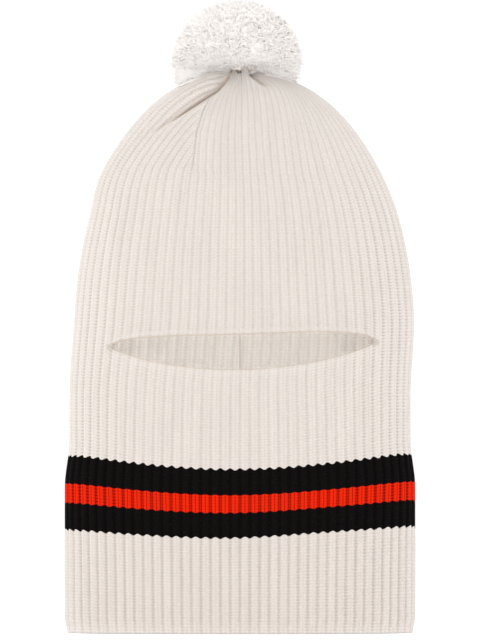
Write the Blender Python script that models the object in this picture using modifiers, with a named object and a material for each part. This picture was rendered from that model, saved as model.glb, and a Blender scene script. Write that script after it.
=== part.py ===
"""Rib-knit balaclava with a pompom, standing on its neck hem as if a display form filled it.

Metres, +Z up, the face looks along -Y and +X is to the right of someone facing it.
The origin is on the surface that the hem stands on, under the middle of the hood.
"""

import math

import bmesh
import bpy
from mathutils import Vector

# Knit
CLEARANCE = 0.0003
KNIT_THICKNESS = 0.004
SECTION_POWER = 2.4
COLUMNS = 56
HOOD_STEPS = 6
CROWN_STEPS = 14

# Width and depth of the tube, from its middle to its outer face
NECK_HALF_WIDTH = 0.1270
HEAD_HALF_WIDTH = 0.1236
NECK_HALF_DEPTH = 0.037
HEAD_HALF_DEPTH = 0.046
FLARE_START = 0.105
FLARE_END = 0.140

# Heights of the course lines at the sides of the tube
HEM_EDGE_HEIGHT = 0.0045
HEM_HEIGHT = 0.075
BLACK_STRIPE_HEIGHT = 0.0205
ORANGE_STRIPE_HEIGHT = 0.011
EYE_HEIGHT = 0.2087
CROWN_BASE_HEIGHT = 0.205
CROWN_RISE = 0.202
CROWN_POWER = 2.2
CROWN_HOLE_RADIUS = 0.007

# Eye opening: a lens whose lower lip hangs slack and pulls the front courses down
EYE_HALF_WIDTH = 0.0967
EYE_UPPER_RISE = 0.0084
EYE_LOWER_DROP = 0.0180
EYE_LOWER_POWER = 0.85
EYE_UPPER_POWER = 4.0
EYE_UPPER_ROUNDING = 0.6
DROP_POWER = 1.3
DROP_SPREAD = 0.052
BINDING_RADIUS = 0.0014
TACK_HALF_WIDTH = 0.0016
TACK_HALF_DEPTH = 0.0024
TACK_HALF_HEIGHT = 0.0020

# Seam and loose ends inside
SEAM_RADIUS = 0.0013
SEAM_HEADROOM = 0.010
TAIL_RADIUS = 0.0009
TAIL_LENGTH = 0.030
TAIL_SEAM_GAP = 0.003

# Closing of the crown and the pompom's tie
GATHER_THREAD_RADIUS = 0.0009
GATHER_DEPTH = 0.0005
PIVOT_LIFT = 0.0045
TIE_KNOT_RADIUS = 0.0022
TIE_CORD_RADIUS = 0.0011
TIE_CORD_LENGTH = 0.0125
INNER_KNOT_RADIUS = 0.003

# Pompom: the dense part of the yarn ball
POMPOM_RADIUS = 0.044
POMPOM_CENTRE_LIFT = 0.0045
POMPOM_UNDERSIDE_DEG = 5.0
CORE_TIE_RADIUS = 0.0046
CORE_TIE_THREAD_RADIUS = 0.0008
CORE_POCKET_RADIUS = 0.0066

CREAM = (0.80, 0.74, 0.68)
BLACK = (0.008, 0.007, 0.007)
ORANGE = (0.83, 0.025, 0.006)

STRIPE_1 = HEM_HEIGHT + BLACK_STRIPE_HEIGHT
STRIPE_2 = STRIPE_1 + ORANGE_STRIPE_HEIGHT
STRIPE_3 = STRIPE_2 + BLACK_STRIPE_HEIGHT
RIM_HEIGHT = CROWN_BASE_HEIGHT + CROWN_RISE
PIVOT = Vector((0, 0, RIM_HEIGHT + PIVOT_LIFT))
FINE = 1e-5


# Scene, materials and small builders

def clear_scene():
    for old in list(bpy.data.objects):
        bpy.data.objects.remove(old)


def new_collection(name):
    made = bpy.data.collections.new(name)
    bpy.context.scene.collection.children.link(made)
    return made


def yarn_material(name, colour):
    made = bpy.data.materials.new(name)
    made.use_nodes = True
    shader = made.node_tree.nodes["Principled BSDF"]
    shader.inputs["Base Color"].default_value = (*colour, 1)
    shader.inputs["Roughness"].default_value = 0.95
    shader.inputs["Metallic"].default_value = 0
    return made


def place(name, data, collection, material, parent=None, location=(0, 0, 0)):
    made = bpy.data.objects.new(name, data)
    collection.objects.link(made)
    made.data.materials.append(material)
    made.parent = parent
    made.location = location
    return made


def mesh_from(name, points, faces):
    mesh = bpy.data.meshes.new(name)
    mesh.from_pydata(points, [], faces)
    mesh.shade_smooth()
    return mesh


def axis_empty(name, collection, parent, location):
    made = bpy.data.objects.new(name, None)
    collection.objects.link(made)
    made.parent = parent
    made.location = location
    return made


def tube_curve(name, points, radius):
    curve = bpy.data.curves.new(name, "CURVE")
    curve.dimensions = "3D"
    curve.bevel_depth = radius
    curve.bevel_resolution = 2
    curve.use_fill_caps = True
    spline = curve.splines.new("POLY")
    spline.points.add(len(points) - 1)
    for spot, point in zip(spline.points, points):
        spot.co = (*point, 1)
    return curve


def ring_mesh(name, major, minor, around=28, section=8):
    """A torus about Z, centred on its own origin."""
    points, faces = [], []
    for i in range(around):
        turn = math.tau * i / around
        for j in range(section):
            tilt = math.tau * j / section
            reach = major + minor * math.cos(tilt)
            points.append((reach * math.cos(turn), reach * math.sin(turn), minor * math.sin(tilt)))
    for i in range(around):
        here, there = i * section, (i + 1) % around * section
        for j in range(section):
            k = (j + 1) % section
            faces.append((here + j, there + j, there + k, here + k))
    return mesh_from(name, points, faces)


def ball_mesh(name, half_sizes):
    shape = bmesh.new()
    bmesh.ops.create_uvsphere(shape, u_segments=16, v_segments=9, radius=1)
    bmesh.ops.scale(shape, vec=half_sizes, verts=shape.verts)
    mesh = bpy.data.meshes.new(name)
    shape.to_mesh(mesh)
    shape.free()
    mesh.shade_smooth()
    return mesh


# The tube's outer face

def smooth_step(value, low, high):
    share = min(1, max(0, (value - low) / (high - low)))
    return share * share * (3 - 2 * share)


def tube_half_sizes(height):
    """Half width and half depth of the straight part, below the crown."""
    flare = smooth_step(height, FLARE_START, FLARE_END)
    fill = smooth_step(height, 0, CROWN_BASE_HEIGHT)
    width = NECK_HALF_WIDTH + (HEAD_HALF_WIDTH - NECK_HALF_WIDTH) * flare
    depth = NECK_HALF_DEPTH + (HEAD_HALF_DEPTH - NECK_HALF_DEPTH) * fill
    return width, depth


def crown_station(turn):
    """(half width, half depth, height) of the crown. turn runs from 0 at its base to 1 at its hole."""
    last = math.acos((CROWN_HOLE_RADIUS / HEAD_HALF_WIDTH) ** (CROWN_POWER / 2))
    angle = last * turn
    narrow = math.cos(angle) ** (2 / CROWN_POWER)
    narrow_last = math.cos(last) ** (2 / CROWN_POWER)
    rounding = CROWN_HOLE_RADIUS - HEAD_HALF_DEPTH * narrow_last
    depth = HEAD_HALF_DEPTH * narrow + rounding * smooth_step(turn, 0.4, 1)
    rise = (math.sin(angle) / math.sin(last)) ** (2 / CROWN_POWER)
    return HEAD_HALF_WIDTH * narrow, depth, CROWN_BASE_HEIGHT + CROWN_RISE * rise


def section(half_width, half_depth, power, count=COLUMNS):
    """Points spaced evenly round a superellipse, from the middle of the back and over the left side."""
    fine = 16 * count
    outline = []
    for i in range(fine + 1):
        turn = math.tau * (i / fine + 0.25)
        c, s = math.cos(turn), math.sin(turn)
        outline.append(Vector((
            half_width * math.copysign(abs(c) ** (2 / power), c),
            half_depth * math.copysign(abs(s) ** (2 / power), s),
        )))
    reached = [0.0]
    for a, b in zip(outline, outline[1:]):
        reached.append(reached[-1] + (b - a).length)
    points, k = [], 0
    for i in range(count):
        goal = reached[-1] * i / count
        while reached[k + 1] < goal:
            k += 1
        share = (goal - reached[k]) / (reached[k + 1] - reached[k])
        points.append(outline[k].lerp(outline[k + 1], share))
    return points


def face_y(x, height, inset=0.0):
    """How far the tube's face is from its middle plane at x, measured inset metres inside its outer face."""
    width, depth = tube_half_sizes(height)
    reach = min(1, abs(x) / (width - inset))
    return (depth - inset) * (1 - reach ** SECTION_POWER) ** (1 / SECTION_POWER)


def front_drop(x, course):
    """How far a course hangs at the front below its height at the sides."""
    share = min(1, course / EYE_HEIGHT)
    half = EYE_HALF_WIDTH + DROP_SPREAD * (1 - share)
    if abs(x) >= half:
        return 0.0
    return EYE_LOWER_DROP * share ** DROP_POWER * (1 - (x / half) ** 2) ** (EYE_LOWER_POWER + 1 - share)


def course_points(course):
    """The outer face's points along one course of the tube."""
    points = []
    for spot in section(*tube_half_sizes(course), SECTION_POWER):
        drop = front_drop(spot.x, course) if spot.y < 0 else 0.0
        points.append(Vector((spot.x, spot.y, course - drop)))
    return points


# Knitted pieces

def knit_wall(name, rows, straight_rows):
    """A closed sleeve, its outer face through rows of equally many points and its inner face one knit inside it.

    The first straight_rows rows are thickened level, so that pieces above each other share their edges."""
    count, last = len(rows[0]), len(rows) - 1
    outer, inner = [], []
    for r, row in enumerate(rows):
        for i, here in enumerate(row):
            around = row[(i + 1) % count] - row[i - 1]
            up = Vector((0, 0, 1)) if r < straight_rows else rows[min(r + 1, last)][i] - rows[r - 1][i]
            outer.append(here)
            inner.append(here - KNIT_THICKNESS * around.cross(up).normalized())
    inside, top = len(outer), last * count
    faces = []
    for i in range(count):
        j = (i + 1) % count
        for base in range(0, top, count):
            low_i, low_j, high_i, high_j = base + i, base + j, base + count + i, base + count + j
            faces.append((low_i, low_j, high_j, high_i))
            faces.append((inside + low_j, inside + low_i, inside + high_i, inside + high_j))
        faces.append((j, i, inside + i, inside + j))
        faces.append((top + i, top + j, inside + top + j, inside + top + i))
    return mesh_from(name, outer + inner, faces)


def rows_between(low, high, steps):
    """Rows of points from course low to course high, spread evenly however far each hangs."""
    bottom, top = course_points(low), course_points(high)
    return [[a.lerp(b, r / steps) for a, b in zip(bottom, top)] for r in range(steps + 1)]


def knit_band(name, low, high, steps, material, collection):
    rows = rows_between(low, high, steps)
    place(name, knit_wall(name, rows, len(rows)), collection, material)


def hood_rows():
    """From the top stripe to the hole at the crown: HOOD_STEPS rows below the crown's base, then the crown's."""
    low = course_points(STRIPE_3 + CLEARANCE)
    base = section(*tube_half_sizes(CROWN_BASE_HEIGHT), SECTION_POWER)
    high = [Vector((spot.x, spot.y, CROWN_BASE_HEIGHT)) for spot in base]
    rows = [[a.lerp(b, r / HOOD_STEPS) for a, b in zip(low, high)] for r in range(HOOD_STEPS)]
    for r in range(CROWN_STEPS + 1):
        turn = r / CROWN_STEPS
        width, depth, height = crown_station(turn)
        power = SECTION_POWER + (2 - SECTION_POWER) * smooth_step(turn, 0.3, 1)
        rows.append([Vector((spot.x, spot.y, height)) for spot in section(width, depth, power)])
    return rows


def lip_height(x, which):
    """Height of the eye opening's lower edge (which 0) or upper edge (which 1) at x."""
    reach = min(1, abs(x) / EYE_HALF_WIDTH)
    if which == 0:
        return EYE_HEIGHT - EYE_LOWER_DROP * (1 - reach ** 2) ** EYE_LOWER_POWER
    return EYE_HEIGHT + EYE_UPPER_RISE * (1 - reach ** EYE_UPPER_POWER) ** EYE_UPPER_ROUNDING


def lip_points(which, end, outwards, count):
    """(x, z) along one lip from x = -end to end, moved square to the lip out of the opening."""
    points = []
    for i in range(count + 1):
        x = -end * math.cos(math.pi * i / count)
        before = max(-EYE_HALF_WIDTH, x - outwards / 8)
        after = min(EYE_HALF_WIDTH, x + outwards / 8)
        along = Vector((after - before, lip_height(after, which) - lip_height(before, which))).normalized()
        side = outwards if which == 0 else -outwards
        points.append((x + side * along.y, lip_height(x, which) - side * along.x))
    return points


def eye_cutter(grow, collection):
    """A closed block through the front wall only: the eye opening's outline, grown to leave room for its edging."""
    count = 28
    lower = lip_points(0, EYE_HALF_WIDTH, grow, count)[1:-1]
    upper = lip_points(1, EYE_HALF_WIDTH, grow, count)[1:-1]
    tip = EYE_HALF_WIDTH + grow
    outline = [(-tip, EYE_HEIGHT), *lower, (tip, EYE_HEIGHT), *reversed(upper)]
    points = [(x, y, z) for y in (-1.5 * HEAD_HALF_DEPTH, 0) for x, z in outline]
    total = len(outline)
    faces = [tuple(range(total)), tuple(reversed(range(total, 2 * total)))]
    for i in range(total):
        j = (i + 1) % total
        faces.append((j, i, total + i, total + j))
    cutter = bpy.data.objects.new("eye_cutter", mesh_from("eye_cutter", points, faces))
    collection.objects.link(cutter)
    cutter.hide_render = True
    cutter.display_type = "WIRE"
    return cutter


def eye_binding(name, which, material, collection):
    """The linked edge along one lip, from tack to tack. which is 0 for the lower lip and 1 for the upper one."""
    end = EYE_HALF_WIDTH - TACK_HALF_WIDTH - CLEARANCE
    path = []
    for x, height in lip_points(which, end, BINDING_RADIUS, 30):
        path.append((x, -face_y(x, height, KNIT_THICKNESS / 2), height))
    return place(name, tube_curve(name, path, BINDING_RADIUS), collection, material)


def corner_tack(name, side, material, collection):
    depth = face_y(EYE_HALF_WIDTH, EYE_HEIGHT, KNIT_THICKNESS / 2)
    sizes = (TACK_HALF_WIDTH, TACK_HALF_DEPTH, TACK_HALF_HEIGHT)
    return place(name, ball_mesh(name, sizes), collection, material,
                 location=(side * EYE_HALF_WIDTH, -depth, EYE_HEIGHT))


def back_seam(name, rows, material, collection):
    """The linked join down the inside of the back, from the hem to just under the crown's hole."""
    inset = KNIT_THICKNESS + CLEARANCE + SEAM_RADIUS
    back = [(row[0].y, row[0].z) for row in rows]
    path = [(0, back[0][0] - inset, SEAM_RADIUS)]
    for before, here, after in zip(back, back[1:], back[2:]):
        if here[0] < inset + SEAM_HEADROOM:
            break
        slope = math.atan2(before[0] - after[0], after[1] - before[1])
        path.append((0, here[0] - inset * math.cos(slope), here[1] - inset * math.sin(slope)))
    return place(name, tube_curve(name, path, SEAM_RADIUS), collection, material)


def yarn_tail(name, course, side, material, collection):
    """A darned-in end of a stripe's yarn, lying along the inside of the back beside the seam."""
    inset = KNIT_THICKNESS + CLEARANCE + TAIL_RADIUS
    start = SEAM_RADIUS + TAIL_SEAM_GAP
    count = 8
    path = []
    for i in range(count + 1):
        x = side * (start + TAIL_LENGTH * i / count)
        path.append((x, face_y(x, course, inset) - CLEARANCE, course))
    return place(name, tube_curve(name, path, TAIL_RADIUS), collection, material)


# Pompom and its tie

def pompom_profile():
    """Half outline of the yarn ball, from its top down the outside to the pocket round the core tie."""
    slope = math.radians(POMPOM_UNDERSIDE_DEG)
    centre = POMPOM_CENTRE_LIFT
    # Where the cone under the ball, which starts at the pivot, meets the sphere
    along = centre * math.sin(slope)
    reach = along + math.sqrt(along ** 2 + POMPOM_RADIUS ** 2 - centre ** 2)
    rim_x, rim_z = reach * math.cos(slope), reach * math.sin(slope)
    rim_angle = math.atan2(rim_z - centre, rim_x)
    steps = 12
    outline = []
    for i in range(steps + 1):
        angle = math.pi / 2 + (rim_angle - math.pi / 2) * i / steps
        outline.append((POMPOM_RADIUS * math.cos(angle), centre + POMPOM_RADIUS * math.sin(angle)))
    outline[0] = (0, centre + POMPOM_RADIUS)
    pocket_top = TIE_KNOT_RADIUS + 2 * (CORE_TIE_RADIUS + CORE_TIE_THREAD_RADIUS + CLEARANCE) + CLEARANCE
    outline.append((CORE_POCKET_RADIUS, CORE_POCKET_RADIUS * math.tan(slope)))
    outline.append((CORE_POCKET_RADIUS, pocket_top))
    outline.append((0, pocket_top))
    return outline


def turned(name, outline, material, collection, parent):
    mesh = bpy.data.meshes.new(name)
    edges = [(i, i + 1) for i in range(len(outline) - 1)]
    mesh.from_pydata([(x, 0, z) for x, z in outline], edges, [])
    made = place(name, mesh, collection, material, parent)
    screw = made.modifiers.new("turn", "SCREW")
    screw.steps = 32
    screw.render_steps = 32
    screw.use_merge_vertices = True
    screw.merge_threshold = FINE
    screw.use_smooth_shade = True
    return made


def pompom(collection, cream):
    swing = axis_empty("pompom_swing_axis", collection, None, PIVOT)
    tilt = axis_empty("pompom_tilt_axis", collection, swing, (0, 0, 0))
    place("pompom_tie_knot", ball_mesh("pompom_tie_knot", (TIE_KNOT_RADIUS,) * 3), collection, cream, swing)
    core = ring_mesh("pompom_core_tie", CORE_TIE_RADIUS, CORE_TIE_THREAD_RADIUS)
    core_height = TIE_KNOT_RADIUS + CLEARANCE + CORE_TIE_RADIUS + CORE_TIE_THREAD_RADIUS
    loop = place("pompom_core_tie", core, collection, cream, tilt, (0, 0, core_height))
    loop.rotation_euler = (0, math.pi / 2, 0)
    turned("pompom_yarn", pompom_profile(), cream, collection, tilt)


def crown_closing(collection, cream):
    """The drawn thread in the crown's hole, and the tie's end that passes through it to a knot inside."""
    reach = CROWN_HOLE_RADIUS - 2 * (CLEARANCE + GATHER_THREAD_RADIUS)
    ring = ring_mesh("crown_gather_thread", reach, GATHER_THREAD_RADIUS)
    place("crown_gather_thread", ring, collection, cream, location=(0, 0, RIM_HEIGHT - GATHER_DEPTH))
    cord_top = PIVOT.z - TIE_KNOT_RADIUS - CLEARANCE
    cord_end = cord_top - TIE_CORD_LENGTH
    cord = tube_curve("pompom_tie_cord", [(0, 0, cord_top), (0, 0, cord_end)], TIE_CORD_RADIUS)
    place("pompom_tie_cord", cord, collection, cream)
    knot_height = cord_end - CLEARANCE - INNER_KNOT_RADIUS
    place("pompom_inner_knot", ball_mesh("pompom_inner_knot", (INNER_KNOT_RADIUS,) * 3), collection, cream,
          location=(0, 0, knot_height))


def build():
    clear_scene()
    parts = new_collection("balaclava")
    tools = new_collection("cutters")
    cream = yarn_material("cream_yarn", CREAM)
    black = yarn_material("black_yarn", BLACK)
    orange = yarn_material("orange_yarn", ORANGE)

    knit_band("hem_cast_on_edge", 0, HEM_EDGE_HEIGHT, 1, cream, parts)
    knit_band("neck_hem_knit", HEM_EDGE_HEIGHT + CLEARANCE, HEM_HEIGHT, 4, cream, parts)
    knit_band("lower_black_stripe", HEM_HEIGHT + CLEARANCE, STRIPE_1, 2, black, parts)
    knit_band("orange_stripe", STRIPE_1 + CLEARANCE, STRIPE_2, 1, orange, parts)
    knit_band("upper_black_stripe", STRIPE_2 + CLEARANCE, STRIPE_3, 2, black, parts)

    hood = place("hood_knit", knit_wall("hood_knit", hood_rows(), HOOD_STEPS + 1), parts, cream)
    cut = hood.modifiers.new("eye_opening", "BOOLEAN")
    cut.operation = "DIFFERENCE"
    cut.object = eye_cutter(2 * (BINDING_RADIUS + CLEARANCE), tools)

    eye_binding("eye_opening_lower_binding", 0, cream, parts)
    eye_binding("eye_opening_upper_binding", 1, cream, parts)
    corner_tack("eye_corner_tack_left", -1, cream, parts)
    corner_tack("eye_corner_tack_right", 1, cream, parts)
    courses = [0, HEM_HEIGHT / 3, 2 * HEM_HEIGHT / 3, HEM_HEIGHT, STRIPE_1, STRIPE_2]
    back_seam("back_seam", [course_points(course) for course in courses] + hood_rows(), cream, parts)
    yarn_tail("lower_black_yarn_tail", (HEM_HEIGHT + STRIPE_1) / 2, 1, black, parts)
    yarn_tail("orange_yarn_tail", (STRIPE_1 + STRIPE_2) / 2, -1, orange, parts)
    yarn_tail("upper_black_yarn_tail", (STRIPE_2 + STRIPE_3) / 2, 1, black, parts)
    crown_closing(parts, cream)
    pompom(parts, cream)


build()
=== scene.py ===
"""Looks of the rib-knit balaclava: stitched rib knit, scalloped stripes, bound eye opening, yarn pompom."""

import math
from functools import partial

import bpy
import numpy as np
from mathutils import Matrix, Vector


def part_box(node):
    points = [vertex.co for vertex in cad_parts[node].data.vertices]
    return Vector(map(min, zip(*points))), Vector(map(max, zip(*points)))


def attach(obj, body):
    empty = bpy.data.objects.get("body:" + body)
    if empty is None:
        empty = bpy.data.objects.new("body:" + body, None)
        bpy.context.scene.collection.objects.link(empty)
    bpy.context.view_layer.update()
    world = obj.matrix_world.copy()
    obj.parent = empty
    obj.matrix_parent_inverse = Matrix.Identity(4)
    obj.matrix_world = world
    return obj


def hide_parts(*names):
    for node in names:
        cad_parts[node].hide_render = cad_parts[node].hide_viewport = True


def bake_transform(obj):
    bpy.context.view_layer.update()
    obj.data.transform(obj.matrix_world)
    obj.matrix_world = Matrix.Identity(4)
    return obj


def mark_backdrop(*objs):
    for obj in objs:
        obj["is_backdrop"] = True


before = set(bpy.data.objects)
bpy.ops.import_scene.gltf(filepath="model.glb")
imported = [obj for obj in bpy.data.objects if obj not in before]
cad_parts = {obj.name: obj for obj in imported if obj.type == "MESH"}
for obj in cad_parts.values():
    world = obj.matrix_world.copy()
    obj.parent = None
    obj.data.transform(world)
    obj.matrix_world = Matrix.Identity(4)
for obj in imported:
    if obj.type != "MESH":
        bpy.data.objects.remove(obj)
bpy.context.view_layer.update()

# Sizes taken from the CAD nodes
NECK_HALF_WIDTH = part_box("hem_cast_on_edge")[1][0]
NECK_HALF_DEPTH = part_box("hem_cast_on_edge")[1][1]
RIM_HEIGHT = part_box("hood_knit")[1][2]
HEM_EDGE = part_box("hem_cast_on_edge")[1][2]
STRIPE_LINES = [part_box(band)[1][2] for band in
                ("neck_hem_knit", "lower_black_stripe", "orange_stripe", "upper_black_stripe")]
EYE_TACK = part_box("eye_corner_tack_right")
EYE_HALF_WIDTH = (EYE_TACK[0][0] + EYE_TACK[1][0]) / 2
EYE_HEIGHT = (EYE_TACK[0][2] + EYE_TACK[1][2]) / 2
POMPOM_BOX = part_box("pompom_yarn")
POMPOM_RADIUS = POMPOM_BOX[1][0]
POMPOM_CENTRE = Vector((0, 0, POMPOM_BOX[1][2] - POMPOM_RADIUS))

# The hood's shape, as in the CAD
HEAD_HALF_WIDTH = 0.1236
HEAD_HALF_DEPTH = 0.046
FLARE_START, FLARE_END = 0.105, 0.140
CROWN_BASE = 0.205
CROWN_RISE = RIM_HEIGHT - CROWN_BASE
CROWN_POWER = 2.2
CROWN_HOLE_RADIUS = 0.007
SECTION_POWER = 2.4
EYE_LOWER_DROP = 0.0180
EYE_UPPER_RISE = 0.0084
EYE_UPPER_SKEW = 0.0012
EYE_LOWER_POWER, EYE_UPPER_POWER, EYE_UPPER_ROUNDING = 0.85, 5.0, 0.45
DROP_POWER, DROP_SPREAD = 1.3, 0.052
EYE_TILT = 0.018

# How the cloth lies on the flat
LEAN = 0.0031
RIGHT_CLIMB = 0.0026
NECK_SAG = 0.0009
CORNER_DRAW, CORNER_HEIGHT = 0.010, 0.012
SHOULDER_FULLNESS, SHOULDER_HEIGHT, SHOULDER_SPREAD = 0.0026, 0.331, 0.022

# Knit
RIBS = 82
RIB_PHASES = np.array([0.0, 0.09, 0.19, 0.33, 0.5, 0.67, 0.81, 0.91])
RIB_RELIEF = 0.0019
RIB_PITCH = 0.0068
COURSE = 0.0023
WALL = 0.0034
OUTER_MEAN, INNER_MEAN = 0.6, 0.2
HEM_LOOSENESS = 0.35
SCALLOP = 0.0017
ROW_STEP = 0.0023

COLUMNS = RIBS * len(RIB_PHASES)
PHASE = np.tile(RIB_PHASES, RIBS)
U = (np.repeat(np.arange(RIBS), len(RIB_PHASES)) + PHASE) / RIBS
FRONT = (U > 0.25) & (U < 0.75)


def smooth_step(value, low, high):
    share = np.clip((value - low) / (high - low), 0, 1)
    return share * share * (3 - 2 * share)


# The hood's outer face, as a table of levels up the side by columns round the hood

def profile():
    """Path length up the side, half width, half depth, height and section power at each level."""
    z = np.linspace(0, CROWN_BASE, 120, endpoint=False)
    flare = smooth_step(z, FLARE_START, FLARE_END)
    fill = smooth_step(z, 0, CROWN_BASE)
    width = NECK_HALF_WIDTH + (HEAD_HALF_WIDTH - NECK_HALF_WIDTH) * flare
    depth = NECK_HALF_DEPTH + (HEAD_HALF_DEPTH - NECK_HALF_DEPTH) * fill
    last = math.acos((CROWN_HOLE_RADIUS / HEAD_HALF_WIDTH) ** (CROWN_POWER / 2))
    turn = np.linspace(0, 1, 260)
    narrow = np.cos(last * turn) ** (2 / CROWN_POWER)
    rounding = CROWN_HOLE_RADIUS - HEAD_HALF_DEPTH * narrow[-1]
    crown_width = HEAD_HALF_WIDTH * narrow
    crown_depth = HEAD_HALF_DEPTH * narrow + rounding * smooth_step(turn, 0.4, 1)
    crown_z = CROWN_BASE + CROWN_RISE * (np.sin(last * turn) / math.sin(last)) ** (2 / CROWN_POWER)
    power = np.concatenate([np.full(len(z), SECTION_POWER),
                            SECTION_POWER + (2 - SECTION_POWER) * smooth_step(turn, 0.3, 1)])
    width, depth = np.concatenate([width, crown_width]), np.concatenate([depth, crown_depth])
    height = np.concatenate([z, crown_z])
    climb = np.concatenate([[0], np.cumsum(np.hypot(np.diff(crown_width), np.diff(crown_z)))])
    return np.concatenate([z, CROWN_BASE + climb]), width, depth, height, power


LEVEL, WIDTH, DEPTH, HEIGHT, POWER = profile()
TOP_LEVEL = LEVEL[-1]
EYE_LEVEL = float(np.interp(EYE_HEIGHT, HEIGHT, LEVEL))


# Where ribs lie across the crown. The middle ones keep their spacing, and so do the outer ones on the left,
# which run parallel to the side until they meet the middle panel and go under it. The panel's edge is given
# as metres down from the rim, and metres out from the middle.
PANEL_EDGE = [(0.0, 0.0060), (0.0115, 0.0160), (0.0200, 0.0215), (0.0300, 0.0262), (0.0450, 0.0305),
              (0.0730, 0.0335)]
PANEL_SHARE = 0.30
TUCK_START = RIM_HEIGHT - 0.073
TUCK_WIDTH = float(np.interp(TUCK_START, HEIGHT, WIDTH))
MOST_NARROWING = 2.8
BEND_SHARE = 0.08


def evened(across, height):
    """Ribs are spaced more evenly over the head's front than over the neck's."""
    share = -0.02 + 0.09 * float(smooth_step(height, 0.12, 0.26))
    return across - share * np.sin(math.pi * across) / math.pi


def rib_places(height, width):
    """Each column's place on a crown level, as a share of the section's length, and how deep in the tuck."""
    across = np.linspace(-1, 1, 1601)
    narrow = np.clip(TUCK_WIDTH / width, 1, MOST_NARROWING)
    middle_share = smooth_step(-np.abs(across), -PANEL_SHARE - 0.16, -PANEL_SHARE + 0.02)
    right = np.cumsum(np.where(across > 0, 1 + (min(narrow, 2.0) - 1) * middle_share, 0))
    right /= right[-1]
    below, reach = zip(*PANEL_EDGE)
    edge = float(np.interp(RIM_HEIGHT - height, below, reach)) / (width * (1 + BEND_SHARE))
    edge = min(edge, 0.8)
    outer_end = min(-PANEL_SHARE - 0.02, -1 + (1 - edge) / narrow)
    left = np.interp(across, [-1, outer_end, -PANEL_SHARE, 0], [-1, -edge - 0.008, -edge, 0])
    front = np.where(across < 0, left, right)
    tuck = smooth_step(across, outer_end - 0.03, outer_end + 0.01)
    tuck = tuck * smooth_step(-across, PANEL_SHARE - 0.01, PANEL_SHARE + 0.03)
    tuck = tuck * float(smooth_step(-outer_end - PANEL_SHARE, 0.02, 0.10))
    squeeze = 1 + 0.6 * (narrow - 1) * smooth_step(-np.abs(across), -0.5, 0.1)
    total = np.cumsum(squeeze)
    back = 2 * (total - total[0]) / (total[-1] - total[0]) - 1
    places = U.copy()
    for mask, middle, share in ((FRONT, 0.5, front), (~FRONT, 0.0, back)):
        offset = U[mask] - middle
        offset = np.where(offset > 0.5, offset - 1, offset) / 0.25
        if middle == 0.5:
            offset = evened(offset, height)
        places[mask] = (middle + 0.25 * np.interp(offset, across, share)) % 1.0
    depth = np.zeros(COLUMNS)
    depth[FRONT] = np.interp((U[FRONT] - 0.5) / 0.25, across, tuck)
    return places, depth


def build_table():
    """Points on the outer face by level and column, and how deep in the tuck each one lies."""
    turn = np.linspace(0, 1, 2881)
    angle = math.tau * (turn + 0.25)
    c, s = np.cos(angle), np.sin(angle)
    table = np.zeros((len(LEVEL), COLUMNS, 3))
    tucks = np.zeros((len(LEVEL), COLUMNS))
    for k in range(len(LEVEL)):
        x = WIDTH[k] * np.sign(c) * np.abs(c) ** (2 / POWER[k])
        y = DEPTH[k] * np.sign(s) * np.abs(s) ** (2 / POWER[k])
        along = np.concatenate([[0], np.cumsum(np.hypot(np.diff(x), np.diff(y)))])
        along /= along[-1]
        if HEIGHT[k] > TUCK_START:
            places, tucks[k] = rib_places(HEIGHT[k], WIDTH[k])
        else:
            places = U.copy()
            places[FRONT] = 0.5 + 0.25 * evened((U[FRONT] - 0.5) / 0.25, HEIGHT[k])
        table[k, :, 0] = np.interp(places, along, x)
        table[k, :, 1] = np.interp(places, along, y)
        table[k, :, 2] = HEIGHT[k]
    return table, tucks


TABLE, TUCKS = build_table()


def at_level(table, level):
    """Values of a table at levels given for each row and column."""
    k = np.clip(np.searchsorted(LEVEL, level) - 1, 0, len(LEVEL) - 2)
    share = np.clip((level - LEVEL[k]) / (LEVEL[k + 1] - LEVEL[k]), 0, 1)
    column = np.broadcast_to(np.arange(COLUMNS), level.shape)
    low, high = table[k, column], table[k + 1, column]
    if low.ndim == 3:
        share = share[..., None]
    return low + (high - low) * share


def lip_drop(x, level):
    """How far the courses below the eye opening hang down."""
    share = np.clip(level / EYE_HEIGHT, 0, 1)
    half = EYE_HALF_WIDTH + DROP_SPREAD * (1 - share)
    inside = np.clip(1 - (x / half) ** 2, 0, 1)
    return EYE_LOWER_DROP * share ** DROP_POWER * inside ** (EYE_LOWER_POWER + 1 - share)


def lip_rise(x, above):
    """How far the courses above the eye opening are lifted, above metres up from it."""
    fade = np.clip(1 - above / 0.07, 0, 1)
    half = EYE_HALF_WIDTH + 0.02 * (1 - fade)
    inside = np.clip(1 - np.abs(x / half) ** EYE_UPPER_POWER, 0, 1)
    skew = EYE_UPPER_SKEW * smooth_step(x, -0.2 * EYE_HALF_WIDTH, 0.6 * EYE_HALF_WIDTH)
    return (EYE_UPPER_RISE + skew) * fade ** 2 * inside ** (EYE_UPPER_ROUNDING + 0.8 * (1 - fade))


def crease_fields(x, z, line):
    """Distance from a crease, positive above it, and how far along it, from 1 at the top to 0."""
    best = np.full(x.shape, 1.0)
    signed = np.zeros(x.shape)
    along = np.zeros(x.shape)
    for i in range(len(line) - 1):
        a, b = np.array(line[i]), np.array(line[i + 1])
        d = b - a
        long = np.hypot(*d)
        px, pz = x - a[0], z - RIM_HEIGHT - a[1]
        inside = np.clip((px * d[0] + pz * d[1]) / long ** 2, 0, 1)
        off = np.hypot(px - inside * d[0], pz - inside * d[1])
        side = (px * d[1] - pz * d[0]) / long
        closer = off < best
        best = np.where(closer, off, best)
        signed = np.where(closer, np.sign(side) * off, signed)
        along = np.where(closer, 1 - (i + inside) / (len(line) - 1), along)
    return signed, along


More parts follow.
